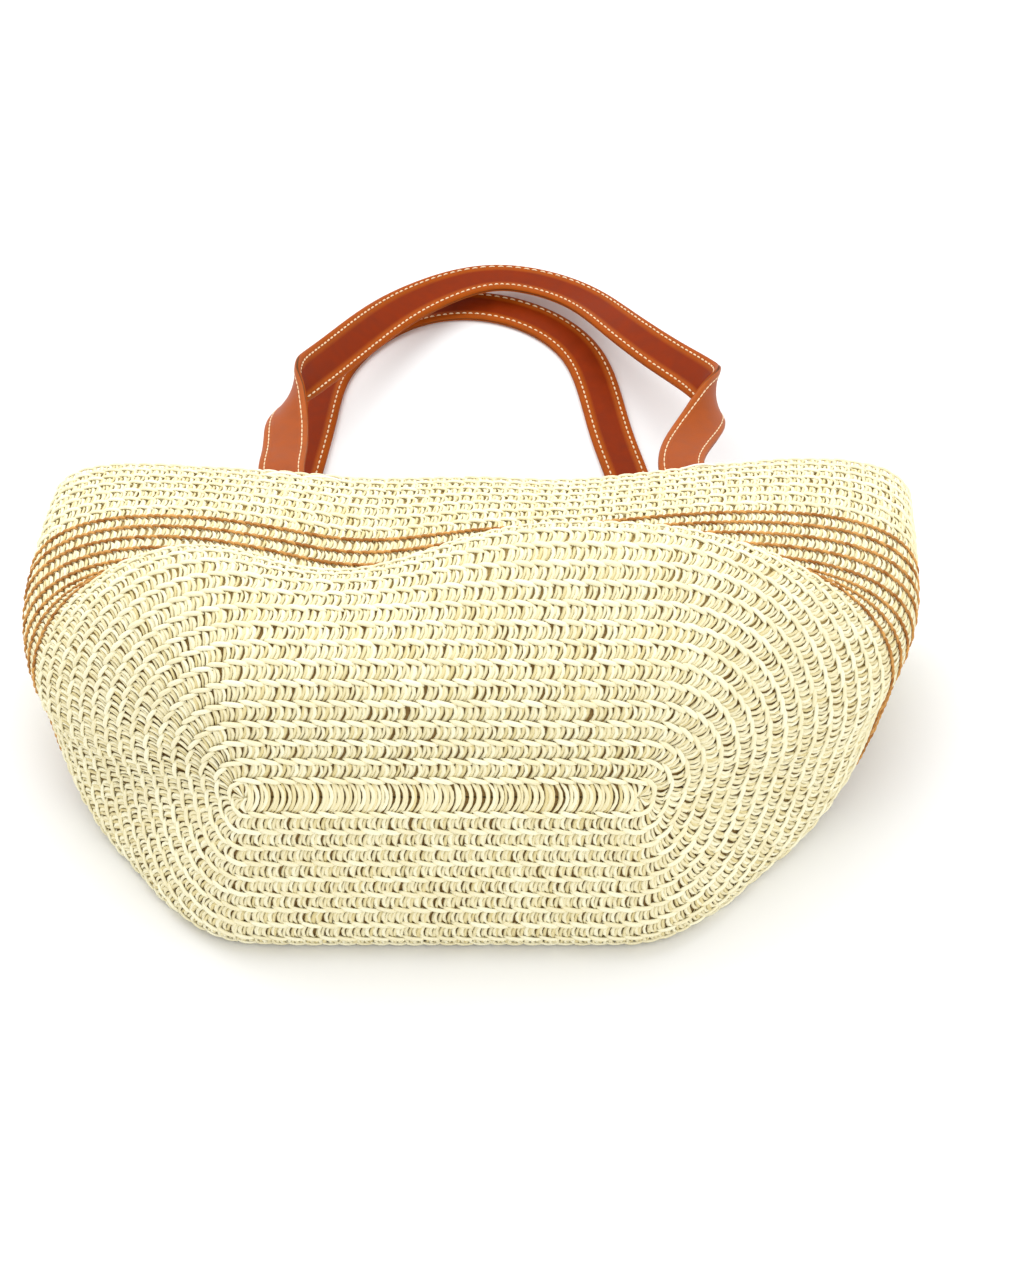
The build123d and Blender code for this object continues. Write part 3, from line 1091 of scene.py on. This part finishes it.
class Handle:
    """A stitched strap: outer face, filler, inner face, stitching and two sewn-in ends."""

    def __init__(self, name: str, ribbon: Ribbon, sizes: StrapSizes, hinge: tuple[float, float]) -> None:
        """Keeps the strap's ribbon.

        Args:
            name: "front" or "back".
            ribbon: The strap's middle surface.
            sizes: Its cross-section.
            hinge: Y and z of the line about which it swings, in millimetres; not used.
        """
        self.name = name
        self.ribbon = ribbon
        self.sizes = sizes
        self.hinge = hinge
        self.rng = np.random.default_rng(SEED + len(name))

    def face_height(self, x: np.ndarray, side: Side) -> np.ndarray:
        """Height of a face above the middle: flat, with a rolled margin and a sewn groove.

        Args:
            x: Places across the strap, in millimetres.
            side: Which side of the strap.

        Returns:
            Height in millimetres.
        """
        sizes = self.sizes
        roll = sizes.roll if side is Side.INSIDE else 0.45 * sizes.roll
        swell = roll * np.exp(-(((np.abs(x) - sizes.roll_at) / 1.9) ** 2))
        groove = 0.3 * np.exp(-(((np.abs(x) - sizes.seam) / 0.5) ** 2))
        edge = np.clip((np.abs(x) - sizes.width / 2 + 1.2) / 1.2, 0, 1)
        return (sizes.half + sizes.face) + swell - groove - 0.75 * edge**2

    def section(self, low: float, side: Side) -> np.ndarray:
        """Closed outline of one layer: a shaped face over a plain one.

        Args:
            low: Height of the plain face.
            side: Which side of the strap the shaped face is on.

        Returns:
            Places across and above the middle, going once around.
        """
        margins = (np.linspace(-12.5, -6.5, 22), np.linspace(6.5, 12.5, 22))
        x = np.concatenate([margins[0], np.linspace(-5.5, 5.5, 8), margins[1]])
        top = np.stack([x, self.face_height(x, side) * side.value], 1)
        under = np.stack([x[::-4], np.full(len(x[::-4]), low * side.value)], 1)
        loop = np.concatenate([top, under])
        return loop if side is Side.INSIDE else loop[::-1]

    def loft(self, patch: Patch, loop: np.ndarray, start: float, end: float) -> None:
        """Carries a closed outline along the strap and closes its two ends.

        Args:
            patch: Where the surface goes.
            loop: Places across and above the middle, going once around.
            start: Where it starts along the strap, in millimetres.
            end: Where it ends along the strap, in millimetres.
        """
        s = np.linspace(start, end, max(int((end - start) / 2.2), 4))
        points = self.ribbon.carry(s[:, None], loop[None, :, 0], loop[None, :, 1])
        count = len(loop)
        caps = np.stack([np.arange(count)[::-1], np.arange(count) + (len(s) - 1) * count])
        marks = np.stack(np.broadcast_arrays(s[:, None], loop[None, :, 0]), -1)
        patch.add(points, [grid_faces(len(s), count, closed=True), caps], marks)

    def seams(self, start: float, end: float, name: str, thread: bpy.types.Material) -> bpy.types.Object:
        """Lays both lines of stitches on both faces between two places along the strap.

        Args:
            start: Where it starts along the strap, in millimetres.
            end: Where it ends along the strap, in millimetres.
            name: Its name.
            thread: Finish of the sewing thread.

        Returns:
            The piece.
        """
        patch = Patch()
        places = np.arange(start + 2.5, end - 2, self.sizes.stitch_pitch)
        stitches = {Side.OUTSIDE: self.sizes.outer_stitch, Side.INSIDE: self.sizes.inner_stitch}
        for side, stitch in stitches.items():
            height = float(self.face_height(np.array([self.sizes.seam]), side)[0])
            for across in (-self.sizes.seam, self.sizes.seam):
                line = Lifted(self.ribbon, across, height * side.value)
                stitch.lay(patch, line, places, self.rng, 0.25, (0, 1), 0, side.value)
        return patch.build(name, thread)

    def build(
        self, faces: dict[Side, bpy.types.Material], filler: bpy.types.Material, thread: bpy.types.Material
    ) -> None:
        """Builds the free strap, then its two sewn-in ends.

        Args:
            faces: Finish of each face.
            filler: Finish of the filler at the edges.
            thread: Finish of the stitching.
        """
        ribbon = self.ribbon
        start, end = ribbon.sewn, ribbon.length - ribbon.sewn
        free = []
        for part, side in (("outer", Side.OUTSIDE), ("inner", Side.INSIDE)):
            patch = Patch()
            self.loft(patch, self.section(self.sizes.half, side), start, end)
            piece = patch.build(f"{self.name}_handle_{part}", faces[side])
            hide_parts(f"{self.name}_strap_{part}")
            free.append(piece)
        patch = Patch()
        x = np.linspace(-12.1, 12.1, 9)
        loop = np.concatenate([np.stack([x, 0 * x - 0.38], 1), np.stack([x[::-1], 0 * x + 0.38], 1)])
        self.loft(patch, loop, start, end)
        core = patch.build(f"{self.name}_handle_filler", filler)
        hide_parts(f"{self.name}_strap_core")
        stitches = self.seams(start, end, f"{self.name}_handle_stitches", thread)
        for piece in (*free, core, stitches):
            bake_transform(piece)
        self.sewn_end("left", 0.0, start, faces[Side.OUTSIDE], thread)
        self.sewn_end("right", end, ribbon.length, faces[Side.OUTSIDE], thread)

    def sewn_end(
        self, hand: str, start: float, end: float, face: bpy.types.Material, thread: bpy.types.Material
    ) -> None:
        """Builds one end of the strap, sewn flat inside the mouth.

        Args:
            hand: "left" or "right".
            start: Where it starts along the strap, in millimetres.
            end: Where it ends along the strap, in millimetres.
            face: Finish of the face.
            thread: Finish of the sewing thread.
        """
        patch = Patch()
        top = self.section(0.0, Side.OUTSIDE)
        under = self.section(0.0, Side.INSIDE)
        for loop in (top, under):
            self.loft(patch, loop, start, end)
        piece = patch.build(f"{self.name}_{hand}_end", face)
        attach(piece, "bag")
        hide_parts(f"{self.name}_{hand}_tab")
        stitches = self.seams(start, end, f"{self.name}_{hand}_end_stitches", thread)
        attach(stitches, "bag")


@dataclass(frozen=True)
class HandleRoutes:
    """Middle lines of the two straps, in millimetres, and the front strap's turns."""

    sewn: float = 34.0
    back: tuple = (
        (-108, 213, 6.9), (-107, 250, 2.6), (-104, 300, 2.1), (-98, 350, 2.1), (-91, 400, 2.1),
        (-84, 440, 2.1), (-66, 472, 2.1), (-36, 497, 2.1), (2, 504, 2.1), (38, 491, 2.1),
        (64, 463, 2.1), (76, 425, 2.1),
        (83, 385, 2.1), (92, 345, 2.1), (101, 295, 2.1), (108, 250, 2.6), (112, 213, 6.9),
    )
    front: tuple = (
        (-99, 250, 86.3), (-100, 285, 79), (-101, 322, 71), (-99, 352, 64), (-84, 393, 50), (-58, 447, 33),
        (-22, 498, 18), (17, 518, 13), (50, 508, 14), (88, 454, 30), (117, 405, 43), (136, 368, 56),
        (138, 344, 66), (125, 300, 78), (116, 255, 91.5),
    )
    front_turns: tuple = (
        (0.0, 0.08, 0.13, 0.165, 0.2, 0.3, 0.42, 0.5, 0.6, 0.7, 0.78, 0.825, 0.86, 0.92, 1.0),
        (0, -10, -45, -95, -128, -146, -172, -184, -178, -166, -150, -100, -50, -12, 0),
    )

    def route(self, shape: BagShape, free: tuple, front: bool) -> np.ndarray:
        """The whole middle line: sewn-in end, free strap, sewn-in end.

        Args:
            shape: The bag's surface.
            free: Places that the free strap passes through.
            front: True for the front wall, False for the back one.

        Returns:
            The places, in millimetres, one to a row.
        """
        ends = []
        for x in (free[0][0], free[-1][0]):
            u = shape.find(x, front, 285)
            v = np.array([shape.reach - self.sewn + 6, shape.reach - 18, shape.reach - 4])
            ends.append(shape.at(np.full(3, u), v, np.full(3, -6.9)))
        return np.concatenate([ends[0], np.array(free, float), ends[1][::-1]])


class ThreadMarks:
    """White sewing thread on the outside of the front wall, where the front strap is tied."""

    def __init__(self, shape: BagShape) -> None:
        """Keeps the surface."""
        self.shape = shape

    def build(self, thread: bpy.types.Material) -> None:
        """Lays the two short bars and the loose end of the thread.

        Args:
            thread: Finish of the sewing thread.
        """
        patch = Patch()
        rng = np.random.default_rng(SEED)
        row = Row(self.shape, 29)
        for x, across, half in ((-98.5, 9.5, 9.5), (-77.0, 8.6, 11.0), (124.0, 16.5, 9.0)):
            share = self.shape.find(x, True, 290)
            along = float(np.interp(share, np.linspace(0, 1, len(row.walked)), row.walked))
            ends = ((-half, across, 2.4), (half, across - 0.3, 2.4))
            bar = Strand(ends[0], (0, across + 0.8, 3.6), ends[1], 1.2, 1.2, 0.7, 12, 8)
            bar.lay(patch, row, np.array([along]), rng, 0.0, (0, 0.3))
        bars = patch.build("tying_thread", thread)
        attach(bars, "bag")
        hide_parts("front_thread_bars")


# ---------------------------------------------------------------- studio
@dataclass(frozen=True)
class Studio:
    """Plain pale floor, a soft light from above and behind, a weaker one in front, and the camera."""

    distance: float = 1.650
    elevation: float = 45.0
    target: tuple[float, float, float] = (24.5, 120.0, 97.3)
    lens: float = 114.26

    def build(self) -> None:
        """Sets the floor, the lights, the world and the camera."""
        self.floor()
        self.light("key_light", (-400, 1000, 1900), 2.4, 34.0)
        self.light("fill_light", (900, -900, 1500), 1.8, 9.0)
        world = bpy.data.worlds.new("studio")
        world.use_nodes = True
        world.node_tree.nodes["Background"].inputs["Color"].default_value = (1, 1, 1, 1)
        world.node_tree.nodes["Background"].inputs["Strength"].default_value = 0.85
        bpy.context.scene.world = world
        bpy.context.scene.view_settings.view_transform = "Standard"
        self.camera()

    def floor(self) -> None:
        """A wide pale floor."""
        patch = Patch()
        x = np.linspace(-9000, 9000, 7)
        grid = np.stack(np.meshgrid(x, x, [0.0], indexing="ij"), -1).reshape(-1, 3)
        patch.add(grid, [grid_faces(7, 7)[:, ::-1]], grid[:, :2])
        material, _, shader = new_material("pale_floor")
        shader.inputs["Base Color"].default_value = (0.9, 0.9, 0.9, 1)
        shader.inputs["Roughness"].default_value = 0.9
        floor = patch.build("floor", material)
        floor.data.transform(Matrix.Translation((0, 0, -GROUND * MM)))

    def light(self, name: str, place: tuple[float, float, float], size: float, power: float) -> None:
        """A square soft light aimed at the bag.

        Args:
            name: Its name.
            place: Where it hangs, in millimetres.
            size: Width of its square, in metres.
            power: Power in watts.
        """
        lamp = bpy.data.lights.new(name, "AREA")
        lamp.size = size
        lamp.energy = power
        holder = bpy.data.objects.new(name, lamp)
        at = Vector((np.array(place, float) - ORIGIN) * MM)
        holder.location = at
        aim = Vector((np.array(self.target) - ORIGIN) * MM) - at
        holder.rotation_euler = aim.to_track_quat("-Z", "Y").to_euler()
        bpy.context.scene.collection.objects.link(holder)

    def camera(self) -> None:
        """The camera: in front of the base, looking down at 45 degrees."""
        lens = bpy.data.cameras.new("camera")
        lens.sensor_fit = "HORIZONTAL"
        lens.sensor_width = 36.0
        lens.lens = self.lens
        holder = bpy.data.objects.new("camera", lens)
        tilt = math.radians(self.elevation)
        target = (np.array(self.target) - ORIGIN) * MM
        holder.location = target + self.distance * np.array([0, -math.cos(tilt), math.sin(tilt)])
        holder.rotation_euler = (math.pi / 2 - tilt, 0, 0)
        bpy.context.scene.collection.objects.link(holder)
        bpy.context.scene.camera = holder


def main() -> None:
    """Builds the tote's looks around its frame, then the studio."""
    logging.basicConfig(level=logging.INFO)
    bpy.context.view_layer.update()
    straw = StrawFinish("cream_straw", "FFFADB", "E6D69C").material()
    brown = StrawFinish("brown_straw", "DDA65C", "A26420").material()
    # The plait's inner body: dark brown painted shade, seen between the strands.
    shade = StrawFinish("shaded_straw", "D2B878", "76541F").material()
    cloth = ClothFinish("natural_cotton", "EFE5CF", "D8C9A8").material()
    thread = ClothFinish("cream_thread", "FFE9C6", "E8C898", 0.4).material()
    white = ClothFinish("white_thread", "FFFFFF", "EDE9E0", 0.4).material()
    filler = ClothFinish("strap_filler", "7A4A20", "5A3414").material()
    # Strap faces: margin colours are painted light on the rolled edges, and centre colours are painted
    # shade.
    faces = {
        Side.OUTSIDE: LeatherFinish("strap_outer", "A6500F", "9E470A", 8.5).material(),
        Side.INSIDE: LeatherFinish("strap_inner", "A04A0A", "802800", 6.6, 0.5, 0.08).material(),
    }
    shape = BagShape(BagSizes())
    StrawBody(shape, PlaitSizes()).build(straw, brown, shade)
    Lining(shape, LiningSizes()).build(cloth)
    routes = HandleRoutes()
    turns = Profile(*routes.front_turns)
    face_down = Profile((0, 0.5, 1), (180, 180, 180))
    front = Ribbon(routes.route(shape, routes.front, True), turns, routes.sewn)
    back = Ribbon(routes.route(shape, routes.back, False), face_down, routes.sewn)
    Handle("front", front, StrapSizes(), (250.1, 89.55)).build(faces, filler, thread)
    Handle("back", back, StrapSizes(), (210.5, 6.9)).build(faces, filler, thread)
    ThreadMarks(shape).build(white)
    Studio().build()


if __name__ == "__main__":
    main()
